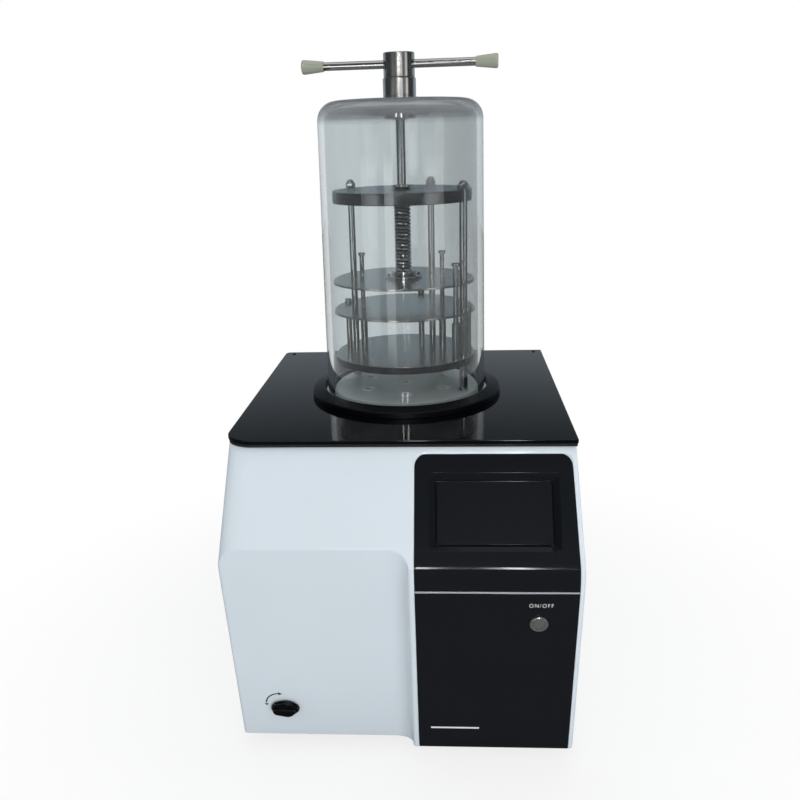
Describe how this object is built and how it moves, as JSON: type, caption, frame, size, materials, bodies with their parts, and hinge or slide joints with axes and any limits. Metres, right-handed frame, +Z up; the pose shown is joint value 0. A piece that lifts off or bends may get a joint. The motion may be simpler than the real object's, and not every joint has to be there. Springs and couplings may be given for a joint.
{
  "type": "freeze dryer",
  "caption": "Bench-top freeze dryer: a housing with cold trap and front display, and a clear bell jar over a shelf rack whose press plate a T-handle drives to stopper vials.",
  "frame": {"origin": "centre of the overall box at table level", "axes": "+Z up, +Y towards the rear, front controls face -Y, +X to the right seen from the front"},
  "size_m": [0.455, 0.5704, 0.9215],
  "materials": {
    "shell": "smooth pale grey-white powder coat",
    "black_panel": "satin black moulding",
    "black_glass": "polished black glass",
    "screen": "dark display glass",
    "trim": "satin strip",
    "dark_steel": "plated sheet",
    "plastic": "moulded black",
    "collar": "turned black ring",
    "rubber": "matt",
    "silicone": "translucent silicone",
    "cover": "fine turned face",
    "steel": "ground and polished",
    "bright_steel": "bright",
    "shelf": "polished sheet",
    "brass": "plain",
    "foam": "closed-cell foam",
    "acrylic": "clear cast acrylic",
    "grip": "moulded pale grey",
    "compressor_black": "black enamel",
    "fins": "thin fins"
  },
  "bodies": {
    "main_unit": {"front_fascia": "shell", "left_side_panel": "shell", "right_side_panel": "shell", "rear_panel": "shell", "display_bezel": "black_panel", "lower_panel": "black_panel", "top_plate": "black_glass", "screen_glass": "screen", "trim_strip": "trim", "base_pan": "dark_steel", "top_frame": "plastic", "power_inlet": "plastic", "fan_shroud": "plastic", "display_controller": "plastic", "chamber_collar": "collar", "foot_front_left": "rubber", "foot_front_right": "rubber", "foot_rear_left": "rubber", "foot_rear_right": "rubber", "chamber_seal": "silicone", "drain_hose": "silicone", "trap_cover": "cover", "cold_trap_pot": "steel", "vacuum_port": "steel", "guide_rod_1": "steel", "guide_rod_2": "steel", "guide_rod_3": "steel", "long_pin_1": "steel", "long_pin_2": "steel", "long_pin_3": "steel", "short_pin_1": "steel", "short_pin_2": "steel", "short_pin_3": "steel", "power_button_ring": "bright_steel", "acorn_nut_1": "bright_steel", "acorn_nut_2": "bright_steel", "acorn_nut_3": "bright_steel", "rack_bottom_plate": "shelf", "rack_top_plate": "shelf", "middle_shelf": "shelf", "lead_nut": "brass", "drain_valve_body": "brass", "trap_coil": "brass", "trap_insulation": "foam", "compressor": "compressor_black", "condenser": "fins"},
    "jar": {"bell_jar": "acrylic", "gland_body": "steel", "gland_nut": "steel"},
    "handle": {"handle_hub": "steel", "handle_bar": "steel", "handle_cap_left": "grip", "handle_cap_right": "grip", "drive_shaft": "steel"},
    "press": {"press_shelf": "shelf", "thrust_flange": "steel"},
    "screw": {"lead_screw": "steel"},
    "button": {"power_button_cap": "bright_steel"},
    "knob": {"drain_knob": "plastic"},
    "fan": {"fan_rotor": "compressor_black"}
  },
  "joints": [
    {"name": "jar_lift", "type": "slide", "parent": "main_unit", "child": "jar", "axis": [0, 0, 1], "range_m": [0, 0.36]},
    {"name": "handle_turn", "type": "hinge", "parent": "jar", "child": "handle", "pos_m": [0, 0.0202, 0.907], "axis": [0, 0, 1], "range_deg": [-180, 1584]},
    {"name": "press_slide", "type": "slide", "parent": "main_unit", "child": "press", "axis": [0, 0, 1], "range_m": [-0.0026, 0.0221]},
    {"name": "screw_turn", "type": "hinge", "parent": "press", "child": "screw", "pos_m": [0, 0.0202, 0.68], "axis": [0, 0, 1], "range_deg": [-181, 1585]},
    {"name": "button_press", "type": "slide", "parent": "main_unit", "child": "button", "axis": [0, 0.9848, 0.1736], "range_m": [0, 0.002], "stiffness_N_per_m": 800, "springref_m": -0.0015},
    {"name": "drain_knob_turn", "type": "hinge", "parent": "main_unit", "child": "knob", "pos_m": [-0.1635, -0.22557, 0.0695], "axis": [0, -0.9848, -0.1736], "range_deg": [0, 90]},
    {"name": "fan_spin", "type": "hinge", "parent": "main_unit", "child": "fan", "pos_m": [-0.07, 0.1899, 0.1183], "axis": [0, 1, 0], "continuous": true}
  ],
  "couplings": [
    {"joint": "press_slide", "follows": "handle_turn", "m_per_rad": 0.00079577},
    {"joint": "screw_turn", "follows": "handle_turn", "ratio": 1}
  ]
}
